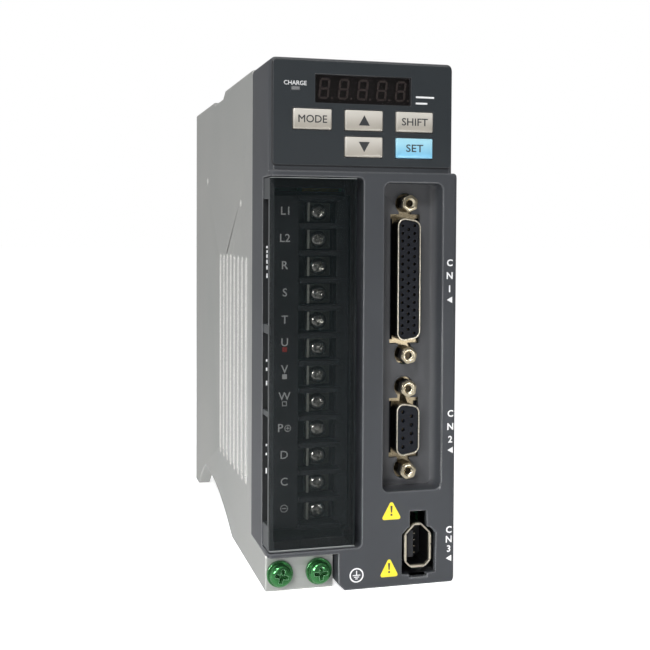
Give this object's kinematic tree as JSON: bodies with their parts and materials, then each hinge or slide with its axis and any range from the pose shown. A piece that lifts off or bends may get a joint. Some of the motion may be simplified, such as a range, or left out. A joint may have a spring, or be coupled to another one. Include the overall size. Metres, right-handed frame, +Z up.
{
  "type": "servo drive",
  "caption": "Upright panel-mounted servo drive with a fluted metal side, keypad display, smoked terminal door and cable sockets.",
  "frame": {"origin": "middle of the base, at the lowest point of the bounding box", "axes": "+X to the drive's right seen from the front, +Y towards the mounting face at the back, +Z up; the front faces -Y"},
  "size_m": [0.06, 0.152, 0.173],
  "materials": {
    "cast_aluminium": "bare cast aluminium, fine satin grain",
    "housing_plastic": "dark grey moulded plastic, fine texture",
    "panel_film": "dark printed film, satin",
    "smoked_plastic": "clear dark smoked plastic, glossy",
    "display_body": "black display block with unlit segments",
    "charge_lens": "unlit lamp, diffuse",
    "key_silver": "silver key with dark legend",
    "key_blue": "light blue key with dark legend",
    "black_plastic": "black moulded plastic",
    "circuit_board": "green solder mask",
    "ribbon_grey": "flat cable",
    "bright_steel": "nickel plated steel",
    "green_plated": "green plated steel",
    "gold_nickel": "warm yellow passivated zinc and nickel",
    "pad_grey": "soft pad",
    "sleeve_blue": "printed capacitor sleeve",
    "winding_tape": "yellow tape over a winding",
    "brass_hex": "turned hexagon brass",
    "label_white": "blank rating label"
  },
  "bodies": {
    "housing": {"heatsink_chassis": "cast_aluminium", "front_cover": "housing_plastic", "side_shell": "housing_plastic", "display_panel": "panel_film", "display_window": "smoked_plastic", "led_display": "display_body", "charge_led": "charge_lens", "tact_switches": "black_plastic", "terminal_block": "black_plastic", "terminal_label": "black_plastic", "io_insulator": "black_plastic", "encoder_insulator": "black_plastic", "serial_insulator": "black_plastic", "control_chips": "black_plastic", "power_module": "black_plastic", "inrush_relay": "black_plastic", "display_board": "circuit_board", "control_board": "circuit_board", "power_board": "circuit_board", "display_ribbon": "ribbon_grey", "hinge_pins": "bright_steel", "terminal_clamps": "bright_steel", "terminal_screws": "bright_steel", "board_screws": "bright_steel", "shell_screws": "bright_steel", "earth_screws": "green_plated", "earth_washers": "green_plated", "io_shell": "gold_nickel", "encoder_shell": "gold_nickel", "serial_shell": "gold_nickel", "jack_sockets": "gold_nickel", "thermal_pad": "pad_grey", "bus_capacitors": "sleeve_blue", "transformer": "winding_tape", "wall_spacers": "brass_hex", "board_spacers": "brass_hex", "side_label": "label_white"},
    "key_mode_cap": {"key_mode": "key_silver"},
    "key_up_cap": {"key_up": "key_silver"},
    "key_down_cap": {"key_down": "key_silver"},
    "key_shift_cap": {"key_shift": "key_silver"},
    "key_set_cap": {"key_set": "key_blue"},
    "terminal_door": {"door_frame": "housing_plastic", "door_window": "smoked_plastic"}
  },
  "joints": [
    {"name": "key_mode_press", "type": "slide", "parent": "housing", "child": "key_mode_cap", "axis": [0, 1, 0], "range_m": [0, 0.0006], "stiffness_N_per_m": 2500},
    {"name": "key_up_press", "type": "slide", "parent": "housing", "child": "key_up_cap", "axis": [0, 1, 0], "range_m": [0, 0.0006], "stiffness_N_per_m": 2500},
    {"name": "key_down_press", "type": "slide", "parent": "housing", "child": "key_down_cap", "axis": [0, 1, 0], "range_m": [0, 0.0006], "stiffness_N_per_m": 2500},
    {"name": "key_shift_press", "type": "slide", "parent": "housing", "child": "key_shift_cap", "axis": [0, 1, 0], "range_m": [0, 0.0006], "stiffness_N_per_m": 2500},
    {"name": "key_set_press", "type": "slide", "parent": "housing", "child": "key_set_cap", "axis": [0, 1, 0], "range_m": [0, 0.0006], "stiffness_N_per_m": 2500},
    {"name": "terminal_door_hinge", "type": "hinge", "parent": "housing", "child": "terminal_door", "pos_m": [-0.0046, -0.0729, 0.0697], "axis": [0, 0, 1], "range_deg": [0, 100]}
  ]
}
